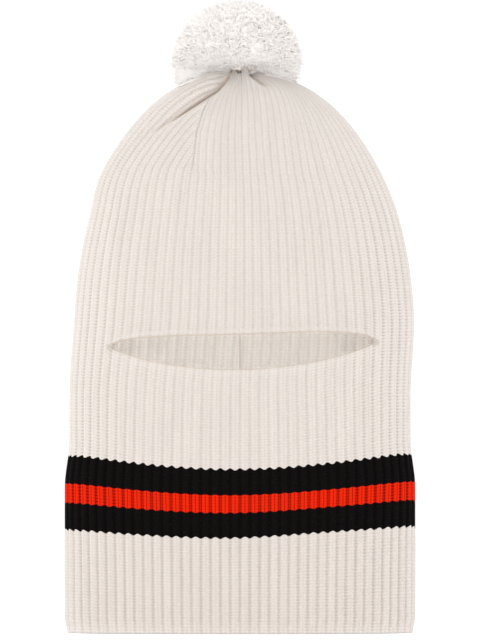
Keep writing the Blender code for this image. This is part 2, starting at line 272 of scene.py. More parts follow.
def lean(points):
    """Above the neck the hood lies a little to the right, with a fuller left shoulder."""
    z = points[..., 2]
    shoulder = np.exp(-(((z - SHOULDER_HEIGHT) / SHOULDER_SPREAD) ** 2))
    points[..., 0] -= SHOULDER_FULLNESS * shoulder * smooth_step(-points[..., 0], 0.02, 0.10)
    points[..., 0] += LEAN * smooth_step(z, 0.170, 0.235) * (1 - 0.6 * smooth_step(z, 0.30, 0.37))
    return points


def outer_points(level, below_eye):
    """The smooth outer face at levels given for each row and column, before ribs and folds."""
    points = at_level(TABLE, level)
    x, y = points[..., 0], points[..., 1]
    front = smooth_step(-y, -0.004, 0.012)
    if below_eye:
        points[..., 2] -= lip_drop(x, level) * (y < 0)
        sag = np.clip(1 - (x / (0.9 * NECK_HALF_WIDTH)) ** 2, 0, 1)
        points[..., 2] -= NECK_SAG * sag * front * np.exp(-((level - STRIPE_LINES[0]) / 0.035) ** 2)
        # The stripes climb a little to the right, the lowest line the most
        first, last = STRIPE_LINES[0], STRIPE_LINES[3]
        climb = smooth_step(level, 0.02, 0.07) * (1 - 0.7 * smooth_step(level, first, last))
        climb = climb * (1 - smooth_step(level, last, last + 0.045))
        points[..., 2] += RIGHT_CLIMB * climb * front * smooth_step(x, -0.02, 0.07)
    else:
        points[..., 2] += lip_rise(x, level - EYE_LEVEL) * (y < 0)
    points[..., 2] += EYE_TILT * x * front * np.exp(-((level - EYE_LEVEL) / 0.055) ** 2)
    # The neck's lower corners draw in a little
    draw = smooth_step(CORNER_HEIGHT - level, 0, CORNER_HEIGHT)
    points[..., 0] *= 1 - CORNER_DRAW * draw
    return lean(points)


def normals_of(points):
    around = np.roll(points, -1, axis=1) - np.roll(points, 1, axis=1)
    up = np.gradient(points, axis=0)
    normal = np.cross(around, up)
    length = np.linalg.norm(normal, axis=2, keepdims=True)
    return normal / np.maximum(length, 1e-12)


def rib_profile(phase):
    """0 in the valley, 1 on the rib, with a faint dip between the rib's two wales."""
    q = np.abs(2 * phase - 1)
    return (0.5 + 0.5 * np.cos(math.pi * q ** 1.3)) * (1 - 0.15 * np.exp(-((q / 0.2) ** 2)))


RIB = rib_profile(PHASE)


def ribbed(points, level, fade):
    """Outer and inner face: ribs stand outwards, valleys inwards. fade is 1 where the ribs are full."""
    normal = normals_of(points)
    step = np.linalg.norm(np.roll(points, -len(RIB_PHASES), axis=1) - points, axis=2)
    looser = 1 + HEM_LOOSENESS * smooth_step(STRIPE_LINES[0] - level, 0, 0.01)
    relief = RIB_RELIEF * looser * np.clip(step / RIB_PITCH, 0.12, 1) ** 0.8 * fade
    relief = relief * (1 - at_level(TUCKS, level))
    outer = points + normal * (relief * (RIB - OUTER_MEAN))[..., None]
    inner = points - normal * (WALL + relief * (RIB - INNER_MEAN))[..., None]
    return outer, inner


# The crown's creases, as x and the height from the rim
LEFT_CREASE = [(-0.0060, 0.0005), (-0.0165, -0.0120), (-0.0275, -0.0195), (-0.0425, -0.0298),
               (-0.0560, -0.0390), (-0.0700, -0.0485)]
RIGHT_CREASE = [(0.0080, -0.0010), (0.0150, -0.0070), (0.0240, -0.0120)]
FOLD_REACH = 0.08
# What rises or sinks beside a crease: height, distance above the crease, spread
LEFT_ROLL = (0.0024, 0.0085, 0.0060)
LEFT_BRIM = (0.0006, -0.0060, 0.0040)
LEFT_SLIDE = (0.0020, 0.0035, 0.0028)
RIGHT_ROLL = (0.0014, 0.004, 0.003)
RIGHT_DENT = (-0.0034, 0, 0.0020)
LEFT_DEPTH = 0.0042
PLEAT_HEIGHT, PLEAT_RISE = 0.0011, 0.0013
TUCK_DEPTH = 0.0003


def swell(signed, height, place, spread):
    return height * np.exp(-(((signed - place) / spread) ** 2))


def crown_front(y, z):
    """1 on the front of the crown, where the folds are."""
    return smooth_step(-y, -0.004, 0.004) * (z > RIM_HEIGHT - FOLD_REACH)


def add_folds(points, normal, level):
    """A deep crease on the left with a roll of cloth above it, a short one on the right, and pleats."""
    x, y, z = points[..., 0], points[..., 1], points[..., 2]
    front = crown_front(y, z)
    signed, along = crease_fields(x, z, LEFT_CREASE)
    strength = smooth_step(along, -0.05, 0.6) * front
    width = 0.0014 + 0.0012 * along
    dent = swell(signed, -LEFT_DEPTH, 0, width) * smooth_step(RIM_HEIGHT - z, 0, 0.008)
    roll, brim = swell(signed, *LEFT_ROLL), swell(signed, *LEFT_BRIM)
    moved = points + normal * ((dent + roll + brim) * strength)[..., None]
    slide = swell(signed, *LEFT_SLIDE) * (signed > 0) * strength
    moved[..., 0] += slide * 0.55
    moved[..., 2] -= slide * 0.80
    signed, along = crease_fields(x, z, RIGHT_CREASE)
    strength = smooth_step(along, 0, 0.6) * front
    lift = swell(signed, *RIGHT_ROLL) + swell(signed, *RIGHT_DENT)
    moved += normal * (lift * strength)[..., None]
    tuck = at_level(TUCKS, level) * front
    moved -= normal * (TUCK_DEPTH * tuck)[..., None]
    # Pleats where the cloth is drawn together round the hole
    near = smooth_step(level, TOP_LEVEL - 0.016, TOP_LEVEL - 0.002)
    turn = math.tau * U
    pleat = np.cos(13 * turn + 0.8) + 0.5 * np.cos(7 * turn + 2.1)
    moved += normal * (PLEAT_HEIGHT * pleat * near)[..., None]
    moved[..., 2] += PLEAT_RISE * near * (0.4 + np.cos(9 * turn + 1.0))
    return moved


def painted_crease_shade(points):
    """1 deep in the crown's creases, where warmer, darker painted shade goes on the cloth, down to 0 beside
    them.
    """
    x, y, z = points[..., 0], points[..., 1], points[..., 2]
    shade = np.zeros(x.shape)
    for line, width, most in ((LEFT_CREASE, 0.0013, 1.0), (RIGHT_CREASE, 0.0010, 0.6)):
        signed, along = crease_fields(x, z, line)
        strength = smooth_step(along, -0.02, 0.55) * crown_front(y, z) * most
        spread = width * (0.7 + 0.6 * along)
        shade = np.maximum(shade, np.exp(-((signed / spread) ** 2)) * strength)
    return shade


# Mesh building

def place_object(name, data):
    made = bpy.data.objects.new(name, data)
    bpy.context.scene.collection.objects.link(made)
    return made


def bare_mesh(name, points, corners, sizes):
    """A mesh from its points, the points at its faces' corners, and how many corners each face has."""
    mesh = bpy.data.meshes.new(name)
    mesh.vertices.add(len(points))
    mesh.vertices.foreach_set("co", points.ravel())
    mesh.loops.add(len(corners))
    mesh.loops.foreach_set("vertex_index", corners.astype(np.int32))
    mesh.polygons.add(len(sizes))
    starts = np.concatenate([[0], np.cumsum(sizes)[:-1]])
    mesh.polygons.foreach_set("loop_start", starts.astype(np.int32))
    mesh.update(calc_edges=True)
    return mesh


def smooth_piece(mesh, material):
    mesh.validate()
    mesh.shade_smooth()
    mesh.materials.append(material)
    return place_object(mesh.name, mesh)


def quad_sizes(quads):
    return np.full(len(quads), 4)


def column_spans(column):
    """The columns that follow these round the hood, and where each gap starts and ends, in ribs."""
    following = (column + 1) % COLUMNS
    return following, U[column] * RIBS, np.where(following == 0, RIBS, U[following] * RIBS)


class KnitMesh:
    """Collects grids of points that wrap round the hood, and the strips that join their edges."""

    def __init__(self, name):
        self.name = name
        self.points, self.faces, self.uvs = [], [], []
        self.count = 0
        self.rims = []
        self.shades = []

    def add_points(self, grid, shade=None):
        rows, columns = grid.shape[:2]
        index = np.arange(self.count, self.count + rows * columns).reshape(rows, columns)
        self.points.append(grid.reshape(-1, 3))
        self.shades.append(np.zeros(index.size) if shade is None else shade.ravel())
        self.count += index.size
        return index

    def skin(self, index, level, outward):
        """Quads over a grid. level gives the course coordinate of each point."""
        column = np.arange(COLUMNS)
        following, start, stop = column_spans(column)
        low, high = index[:-1], index[1:]
        quads = np.stack([low, low[:, following], high[:, following], high], -1)
        start, stop = (np.broadcast_to(place, low.shape) for place in (start, stop))
        v = level / COURSE
        uv = np.stack([np.stack([start, v[:-1]], -1), np.stack([stop, v[:-1][:, following]], -1),
                       np.stack([stop, v[1:][:, following]], -1), np.stack([start, v[1:]], -1)], -2)
        if not outward:
            quads, uv = quads[..., ::-1], uv[..., ::-1, :]
        self.faces.append(quads.reshape(-1, 4))
        self.uvs.append(uv.reshape(-1, 4, 2))

    def strip(self, first, second, level, columns=None):
        """Quads that close a rim between two edge rows.

        They face down where first is the outer row, and up where it is the inner one."""
        column = np.arange(COLUMNS) if columns is None else columns
        following, start, stop = column_spans(column)
        self.rims += [first, second]
        quads = np.stack([first[following], first[column], second[column], second[following]], -1)
        v = level / COURSE
        left, right = np.stack([start, v[column]], -1), np.stack([stop, v[following]], -1)
        self.faces.append(quads)
        self.uvs.append(np.stack([right, left, left, right], -2))

    def crease(self, mesh):
        """Marks the rims' edges sharp, so that the faces beside them keep their own shading."""
        ends = np.zeros(len(mesh.edges) * 2, np.int32)
        mesh.edges.foreach_get("vertices", ends)
        ends = ends.reshape(-1, 2)
        sharp = np.zeros(len(ends), bool)
        for rim in self.rims:
            on_rim = np.zeros(self.count, bool)
            on_rim[rim] = True
            sharp |= on_rim[ends].all(axis=1)
        layer = mesh.attributes.new("sharp_edge", "BOOLEAN", "EDGE")
        layer.data.foreach_set("value", sharp)

    def build(self, material):
        faces = np.concatenate(self.faces)
        mesh = bare_mesh(self.name, np.concatenate(self.points), faces.ravel(), quad_sizes(faces))
        layer = mesh.uv_layers.new(name="knit")
        layer.data.foreach_set("uv", np.concatenate(self.uvs).ravel())
        shade = mesh.attributes.new("painted_crease_shade", "FLOAT", "POINT")
        shade.data.foreach_set("value", np.concatenate(self.shades).astype(np.float32))
        piece = smooth_piece(mesh, material)
        self.crease(mesh)
        return piece


VALLEY = 0.5 + 0.5 * np.cos(math.tau * PHASE)


def row_levels(low, high):
    """Rows of levels from low to high, which may differ by column."""
    rows = max(2, int(np.ceil(np.mean(high - low) / ROW_STEP)) + 1)
    return graded_levels(low, high, np.linspace(0, 1, rows))


def graded_levels(low, high, shares):
    """Rows of levels at given shares of the way from low to high."""
    return low[None, :] + (high - low)[None, :] * shares[:, None]


def thinned(grid):
    """Every other row, and the last: enough for an inner face."""
    rows = sorted(set(range(0, len(grid), 2)) | {len(grid) - 1})
    return grid[rows]


def knit_band(name, low, high, material, fade=None):
    """A band of the neck between two lines, closed along both edges."""
    level = row_levels(low, high)
    points = outer_points(level, True)
    strength = np.ones(level.shape) if fade is None else fade(level)
    outer, inner = ribbed(points, level, strength)
    outer[..., 2] = np.maximum(outer[..., 2], 0)
    inner[..., 2] = np.maximum(inner[..., 2], 0)
    mesh = KnitMesh(name)
    out_index, in_index = mesh.add_points(outer), mesh.add_points(thinned(inner))
    mesh.skin(out_index, level, True)
    mesh.skin(in_index, thinned(level), False)
    mesh.strip(out_index[0], in_index[0], level[0])
    mesh.strip(in_index[-1], out_index[-1], level[-1])
    return mesh.build(material)


LIP_ZONE = 0.016
LIP_ROLL = 0.0010


def hood(name, low, material):
    """The hood from the top stripe to the crown's hole, and the paths of its two lips."""
    eye = np.full(COLUMNS, EYE_LEVEL)
    below = EYE_LEVEL - float(np.mean(low))
    lower_steps = np.concatenate([np.arange(0, below - LIP_ZONE, 0.003),
                                  np.arange(below - LIP_ZONE, below, 0.001)])
    lower_level = graded_levels(low, eye, np.append(lower_steps / below, 1))
    above = TOP_LEVEL - EYE_LEVEL
    upper_steps = np.concatenate([np.arange(0, 0.010, 0.001), np.arange(0.010, 0.090, 0.0035),
                                  np.arange(0.090, above - 0.0007, 0.0014)])
    upper_level = graded_levels(eye, np.full(COLUMNS, TOP_LEVEL), np.append(upper_steps / above, 1))
    lower, upper = outer_points(lower_level, True), outer_points(upper_level, False)
    x = at_level(TABLE, eye[None, :])[0, :, 0]
    slit = FRONT & (np.abs(x) < EYE_HALF_WIDTH)
    span = np.clip((EYE_HALF_WIDTH - np.abs(x)) / 0.008, 0, 1) * slit
    lower_fade = 1 - 0.8 * span * smooth_step(lower_level, EYE_LEVEL - 0.009, EYE_LEVEL - 0.001)
    near_lip = smooth_step(-upper_level, -EYE_LEVEL - 0.0050, -EYE_LEVEL - 0.0025)
    upper_fade = 1 - 0.9 * span * near_lip
    lower_out, lower_in = ribbed(lower, lower_level, lower_fade)
    upper_out, upper_in = ribbed(upper, upper_level, upper_fade)
    # The upper lip's linked edge rolls outwards, the lower lip's rolls in
    upper_normal, lower_normal = normals_of(upper), normals_of(lower)
    band = np.exp(-(((upper_level - EYE_LEVEL - 0.0016) / 0.0015) ** 2)) * span
    upper_out += upper_normal * (LIP_ROLL * band)[..., None]
    hang = smooth_step(lower_level, EYE_LEVEL - 0.004, EYE_LEVEL) * span
    lower_out -= lower_normal * (LIP_ROLL * hang)[..., None]
    shade = painted_crease_shade(upper_out)
    upper_out = add_folds(upper_out, upper_normal, upper_level)
    upper_in = add_folds(upper_in, upper_normal, upper_level)
    for out_rows, other in ((lower_out, upper_out), (lower_in, upper_in)):
        other[0, ~slit] = out_rows[-1, ~slit]
    mesh = KnitMesh(name)
    lo, li = mesh.add_points(lower_out), mesh.add_points(thinned(lower_in))
    uo, ui = mesh.add_points(upper_out, shade), mesh.add_points(thinned(upper_in))
    uo[0, ~slit], ui[0, ~slit] = lo[-1, ~slit], li[-1, ~slit]
    mesh.skin(lo, lower_level, True)
    mesh.skin(li, thinned(lower_level), False)
    mesh.skin(uo, upper_level, True)
    mesh.skin(ui, thinned(upper_level), False)
    mesh.strip(lo[0], li[0], lower_level[0])
    mesh.strip(ui[-1], uo[-1], upper_level[-1])
    open_columns = np.where(slit | np.roll(slit, -1))[0]
    mesh.strip(li[-1], lo[-1], lower_level[-1], open_columns)
    mesh.strip(uo[0], ui[0], upper_level[0], open_columns)
    lips = [(0.5 * outer + 0.5 * inner)[slit] for outer, inner in
            ((lower_out[-1], lower_in[-1]), (upper_out[0], upper_in[0]))]
    faces = [lower_out[-1][slit], upper_out[0][slit]]
    return mesh.build(material), lips, faces


# Materials

def node(tree, kind, **settings):
    made = tree.nodes.new(kind)
    for key, value in settings.items():
        setattr(made, key, value)
    return made


def feed(socket, value):
    """Links a socket to another one, or sets it to a number or a colour."""
    if isinstance(value, bpy.types.NodeSocket):
        socket.id_data.links.new(value, socket)
    else:
        socket.default_value = (*value, 1) if isinstance(value, tuple) else value


def maths(tree, operation, *values):
    made = node(tree, "ShaderNodeMath", operation=operation)
    for socket, value in zip(made.inputs, values):
        feed(socket, value)
    return made.outputs[0]


def smooth_range(tree, value, low, high):
    made = node(tree, "ShaderNodeMapRange", interpolation_type="SMOOTHSTEP")
    feed(made.inputs["Value"], value)
    feed(made.inputs["From Min"], low)
    feed(made.inputs["From Max"], high)
    return made.outputs[0]


def noise(tree, place, scale, detail):
    made = node(tree, "ShaderNodeTexNoise")
    feed(made.inputs["Vector"], place)
    feed(made.inputs["Scale"], scale)
    feed(made.inputs["Detail"], detail)
    return made.outputs[0]


def blended(tree, factor, first, second):
    """Two colours mixed by factor."""
    made = node(tree, "ShaderNodeMix", data_type="RGBA")
    for key, value in (("Factor", factor), (6, first), (7, second)):
        feed(made.inputs[key], value)
    return made.outputs[2]


def raise_by(tree, shader, height, strength, distance):
    """Bumps a shader's surface by height."""
    made = node(tree, "ShaderNodeBump")
    feed(made.inputs["Height"], height)
    feed(made.inputs["Strength"], strength)
    feed(made.inputs["Distance"], distance)
    feed(shader.inputs["Normal"], made.outputs[0])


def new_material(name, **inputs):
    """A material, its node tree and its shader, with the shader's inputs set by name."""
    material = bpy.data.materials.new(name)
    material.use_nodes = True
    shader = material.node_tree.nodes["Principled BSDF"]
    for key, value in inputs.items():
        feed(shader.inputs[key.replace("_", " ")], value)
    return material, material.node_tree, shader


def cloth_material(name, roughness, sheen, specular):
    material, tree, shader = new_material(name, Roughness=roughness, Sheen_Weight=sheen, Sheen_Roughness=0.5,
                                          Specular_IOR_Level=specular)
    return material, tree, shader, node(tree, "ShaderNodeTexCoord").outputs["Object"]


def knit_material(name, colour, valley_shade_colour, crease_shade_colour, lines, bump, sheen, specular):
    """Rib knit by the piece's knit coordinates: V stitches on ribs, ladders in valleys, uneven yarn, and
    painted shade in valleys, holes, stitch gaps and creases.

    lines is how dark the painted shade along the lines between wales is, from 0 to 1."""
    material, tree, shader, surface = cloth_material(name, 0.92, sheen, specular)
    calc = partial(maths, tree)
    split = node(tree, "ShaderNodeSeparateXYZ")
    feed(split.inputs[0], node(tree, "ShaderNodeUVMap", uv_map="knit").outputs[0])
    rib, course = split.outputs[0], split.outputs[1]
    place = node(tree, "ShaderNodeSeparateXYZ")
    feed(place.inputs[0], surface)
    phase = calc("FRACT", rib)
    q = calc("ABSOLUTE", calc("MULTIPLY_ADD", phase, 2, -1))
    valley = smooth_range(tree, q, 0.36, 0.92)
    # Two wales of V stitches to a rib
    wale = calc("FRACT", calc("MULTIPLY", calc("SUBTRACT", phase, 0.10), 2.5))
    leg = calc("ABSOLUTE", calc("SUBTRACT", wale, 0.5))
    slant = calc("MULTIPLY", leg, 1.1)
    stitch = calc("FRACT", calc("SUBTRACT", course, slant))
    hump = calc("SINE", calc("MULTIPLY", stitch, math.pi))
    edge = calc("SUBTRACT", 1, calc("POWER", calc("MULTIPLY", leg, 2), 5))
    loop = calc("MULTIPLY", hump, edge)
    bar = calc("SINE", calc("MULTIPLY", calc("FRACT", course), math.pi))
    height = node(tree, "ShaderNodeMix")
    for key, value in (("Factor", valley), (2, loop), (3, bar)):
        feed(height.inputs[key], value)
    fibre = noise(tree, surface, 2600, 3)
    raise_by(tree, shader, calc("MULTIPLY_ADD", fibre, 0.5, height.outputs[0]), bump, 0.0006)
    # Painted shade in the holes between the ladder's bars, deeper where the cloth bends round the sides and
    # the holes open more
    turned = smooth_range(tree, calc("ABSOLUTE", place.outputs[0]), 0.06, 0.115)
    above = smooth_range(tree, place.outputs[2], STRIPE_LINES[0] - 0.004, STRIPE_LINES[0] + 0.004)
    hole = calc("POWER", calc("SUBTRACT", 1, bar), 1.5)
    depth = calc("MULTIPLY_ADD", calc("MULTIPLY", turned, above), 0.58, 0.36)
    closed = 0.7 + 0.75 * lines
    shut = calc("MULTIPLY_ADD", above, -0.16 * closed, 0.42 * closed)
    hole_shade = calc("MULTIPLY", valley, calc("MULTIPLY_ADD", hole, depth, shut))
    stitch_gap_shade = calc("MULTIPLY", calc("SUBTRACT", 1, loop), 0.28)
    between = calc("MULTIPLY", smooth_range(tree, leg, 0.34, 0.5), lines)
    dark = calc("MAXIMUM", calc("MAXIMUM", hole_shade, stitch_gap_shade), between)
    # Painted shade: the colour darkens towards the valley shade colour in valleys, holes, stitch gaps and
    # wale lines
    shaded = blended(tree, dark, colour, valley_shade_colour)
    # Painted shade in the crown's creases: warmer and darker, by the mesh's crease shade values
    fold = node(tree, "ShaderNodeAttribute", attribute_name="painted_crease_shade").outputs["Fac"]
    with_crease_shade = blended(tree, calc("MULTIPLY", fold, 0.65), shaded, crease_shade_colour)
    # Yarn that differs a little from rib to rib and drifts up the cloth
    stretched = node(tree, "ShaderNodeCombineXYZ")
    feed(stretched.inputs[0], calc("MULTIPLY", rib, 0.8))
    feed(stretched.inputs[1], calc("MULTIPLY", course, 0.035))
    streak = noise(tree, stretched.outputs[0], 1.0, 2)
    speckle = noise(tree, surface, 700, 1)
    value = calc("MULTIPLY_ADD", streak, 0.13, 0.885)
    value = calc("ADD", value, calc("MULTIPLY", speckle, 0.10))
    uneven = node(tree, "ShaderNodeHueSaturation")
    feed(uneven.inputs["Value"], value)
    feed(uneven.inputs["Color"], with_crease_shade)
    feed(shader.inputs["Base Color"], uneven.outputs[0])
    return material


def yarn_material(name, colour, shade, sheen=0.3, specular=0.2):
    """Loose yarn, without knit coordinates: mottled by its fibres."""
    material, tree, shader, surface = cloth_material(name, 0.9, sheen, specular)
    fibre = noise(tree, surface, 900, 3)
    feed(shader.inputs["Base Color"], blended(tree, fibre, colour, shade))
    raise_by(tree, shader, fibre, 0.4, 0.0003)
    return material


# The _SHADE colours are painted shade in the knits: rib valleys, holes, stitch gaps, wale lines, and creases
# on black and orange; in loose yarns they only mottle the fibres at random
CREAM = (0.800, 0.737, 0.694)
CREAM_SHADE = (0.55, 0.49, 0.43)
# Painted shade for the crown's creases
CREAM_PAINTED_CREASE_SHADE = (0.60, 0.45, 0.30)
BLACK = (0.0048, 0.0036, 0.0036)
BLACK_SHADE = (0.0012, 0.0010, 0.0010)
ORANGE = (0.87, 0.023, 0.003)
ORANGE_SHADE = (0.20, 0.0022, 0.001)
cream_knit = knit_material("cream_rib_knit", CREAM, CREAM_SHADE, CREAM_PAINTED_CREASE_SHADE, 0.40, 0.75, 0.7, 0.15)
black_knit = knit_material("black_rib_knit", BLACK, BLACK_SHADE, BLACK_SHADE, 0.5, 0.6, 0.0, 0.06)
orange_knit = knit_material("orange_rib_knit", ORANGE, ORANGE_SHADE, ORANGE_SHADE, 1.0, 0.55, 0.0, 0.05)
cream_yarn = yarn_material("cream_yarn", CREAM, CREAM_SHADE)
pompom_wool = yarn_material("pompom_wool", (0.97, 0.945, 0.92), (0.94, 0.90, 0.87), 0.6)
# Painted shade: a tan darker than the cream binding, for the shadow line along the eye opening's lips
link_yarn_painted_shade = yarn_material("link_yarn_painted_shade", (0.70, 0.62, 0.53), (0.58, 0.50, 0.41))
# Painted shade: darker than the cream thread, for the groove along the back seam
seam_yarn_painted_shade = yarn_material("seam_yarn_painted_shade", (0.60, 0.53, 0.45), (0.40, 0.34, 0.28))
# Painted shade: a warm tan on the cream thread round the crown's hole
gather_yarn_painted_shade = yarn_material("gather_yarn_painted_shade", (0.84, 0.70, 0.56), (0.70, 0.55, 0.42))
black_yarn = yarn_material("black_yarn", BLACK, BLACK_SHADE, 0.0, 0.06)
orange_yarn = yarn_material("orange_yarn", ORANGE, ORANGE_SHADE, 0.0, 0.05)


def finish_piece(piece, body, slot, *nodes):
    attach(piece, body)
    if nodes:
        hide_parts(*nodes)
    return piece


# Knitted pieces, from the hem up

# The stripes' lines: the CAD's heights, set off a little, and scalloped in the valleys
flat_line = np.ones(COLUMNS)
scallop = SCALLOP * VALLEY
line_1 = STRIPE_LINES[0] + 0.0005 - scallop
line_2 = STRIPE_LINES[1] - 0.0016 + 0.5 * scallop
line_3 = STRIPE_LINES[2] + 0.0020 - 0.5 * scallop
line_4 = STRIPE_LINES[3] + 0.0007 + scallop


def hem_fade(level):
    return 0.25 + 0.75 * smooth_step(level, 0.002, 0.009)


edge = knit_band("hem_cast_on_edge_knit", 0 * flat_line, HEM_EDGE * flat_line, cream_knit, hem_fade)
neck = knit_band("neck_hem_rib_knit", HEM_EDGE * flat_line, line_1, cream_knit, hem_fade)
lower_black = knit_band("lower_black_rib_stripe", line_1, line_2, black_knit)
orange = knit_band("orange_rib_stripe", line_2, line_3, orange_knit)
upper_black = knit_band("upper_black_rib_stripe", line_3, line_4, black_knit)
crown, lips, lip_faces = hood("hood_rib_knit", line_4, cream_knit)
for piece, yarn, cad_node in ((edge, "cream", "hem_cast_on_edge"), (neck, "cream", "neck_hem_knit"),
                              (lower_black, "black", "lower_black_stripe"),
                              (orange, "orange", "orange_stripe"),
                              (upper_black, "black", "upper_black_stripe"), (crown, "cream", "hood_knit")):
    finish_piece(piece, "hood", f"{yarn}_knit", cad_node)


CLOTH = [(crown, line_4, TOP_LEVEL), (upper_black, line_3, line_4), (orange, line_2, line_3),
         (lower_black, line_1, line_2), (neck, HEM_EDGE, line_1)]


def declare_cloth():
    """Each band is a flat strip of rib knit joined at the back seam; this only takes the mean of each band's
    lower and upper levels, and keeps nothing.
    """
    for piece, low, high in CLOTH:
        low, high = float(np.mean(low)), float(np.mean(high))


# Pompom

POMPOM_SIDEWAYS = -0.0025
LOW_YARN = -0.10
FRONT_DEPTH = 0.75
HANG_BEHIND = 0.013
TOP_SQUASH = 0.955
CROWN_CLEARANCE = 0.0022
YARN_ABOVE_RIM = 0.0030
BALL_ACROSS, BALL_DOWN = 180, 110
LUMPS, LUMP_HEIGHT = 90, 0.0030
STRAND_RINGS = 5


def cross_axes(path, axis):
    """Two unit vectors square to a path at each of its points, the first also square to a world axis."""
    tangent = np.gradient(path, axis=-2)
    tangent /= np.linalg.norm(tangent, axis=-1, keepdims=True)
    helper = np.where(np.abs(tangent[..., axis:axis + 1]) < 0.9, np.eye(3)[axis], np.eye(3)[0])
    side = np.cross(tangent, helper)
    side /= np.linalg.norm(side, axis=-1, keepdims=True)
    return side, np.cross(tangent, side)


def strand_mesh(name, paths, radii, sides, material):
    """One mesh of many tapered tubes. paths is (strands, rings, 3) and radii (strands, rings)."""
    strands, rings = paths.shape[:2]
    side, other = cross_axes(paths, 2)
    turn = math.tau * np.arange(sides) / sides
    ring = (np.cos(turn)[:, None] * side[:, :, None, :] + np.sin(turn)[:, None] * other[:, :, None, :])
    points = paths[:, :, None, :] + radii[:, :, None, None] * ring
    index = np.arange(strands * rings * sides).reshape(strands, rings, sides)
    a, b = index[:, :-1], np.roll(index[:, :-1], -1, axis=2)
    d, c = index[:, 1:], np.roll(index[:, 1:], -1, axis=2)
    quads = np.stack([a, b, c, d], -1).reshape(-1, 4)
    corners = np.concatenate([quads.ravel(), index[:, 0, ::-1].ravel(), index[:, -1].ravel()])
    sizes = np.concatenate([quad_sizes(quads), np.full(2 * strands, sides)])
    return smooth_piece(bare_mesh(name, points.reshape(-1, 3), corners, sizes), material)


def crown_surface(x):
    """How high the crown reaches at x."""
    crown = LEVEL > CROWN_BASE
    return np.interp(np.abs(x), WIDTH[crown][::-1], HEIGHT[crown][::-1])


def pressed(points):
    """The pompom is a little flat on top and in front; low down it lies behind the crown's front face."""
    y, z = points[..., 1], points[..., 2]
    centre = POMPOM_CENTRE.z
    points[..., 2] = np.where(z > centre, centre + TOP_SQUASH * (z - centre), z)
    front = 0.12 + (FRONT_DEPTH - 0.12) * smooth_step(z, RIM_HEIGHT + 0.001, RIM_HEIGHT + 0.020)
    back = 0.70 + 0.30 * smooth_step(z, RIM_HEIGHT - 0.012, RIM_HEIGHT)
    points[..., 1] = y * np.where(y < 0, front, back)


def crown_depth(x, z):
    """How far the crown's faces stand out from the middle plane at x and z."""
    width, depth, power = (np.interp(z, HEIGHT, values) for values in (WIDTH, DEPTH, POWER))
    return depth * np.clip(1 - np.abs(x / width) ** power, 0, 1) ** (1 / power)


def wool_ball(name, radius, low, high, clearance):
    """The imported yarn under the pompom's ends: a lumpy ball, cut off at the heights low and high."""
    across, down = BALL_ACROSS, BALL_DOWN
    polar = math.pi * (np.arange(down + 1) / down)[:, None]
    turn = math.tau * (np.arange(across) / across)[None, :]
    direction = np.stack([np.sin(polar) * np.cos(turn), np.sin(polar) * np.sin(turn),
                          np.cos(polar) + 0 * turn], -1)
    lumps = np.zeros(direction.shape[:2])
    rng = np.random.default_rng(5)
    for _ in range(LUMPS):
        wave = rng.normal(0, 40, 3)
        lumps += np.sin(direction @ wave + rng.uniform(0, math.tau))
    reach = radius * (1 + LUMP_HEIGHT * lumps)
    points = np.array(POMPOM_CENTRE) + direction * reach[..., None]
    x, y = points[..., 0], points[..., 1]
    # The low ball rests on the crown; the high one is cut off in a shallow cone
    cone = low + 0.10 * np.hypot(x, y) * (low > 0)
    behind = HANG_BEHIND * smooth_step(y, 0, 0.012) * (low == 0)
    floor = np.maximum(cone, crown_surface(x) + clearance - behind)
    points[..., 2] = np.clip(points[..., 2], floor, high)
    pressed(points)
    points[..., 1] = np.where(y > 0.001, np.maximum(y, crown_depth(x, points[..., 2]) + 0.0005), y)
    points[..., 0] += POMPOM_SIDEWAYS
    index = np.arange((down + 1) * across).reshape(down + 1, across)
    a, b = index[:-1], np.roll(index[:-1], -1, axis=1)
    d, c = index[1:], np.roll(index[1:], -1, axis=1)
    quads = np.stack([a, d, c, b], -1).reshape(-1, 4)
    mesh = bare_mesh(name, points.reshape(-1, 3), quads.ravel(), quad_sizes(quads))
    return smooth_piece(mesh, pompom_wool)


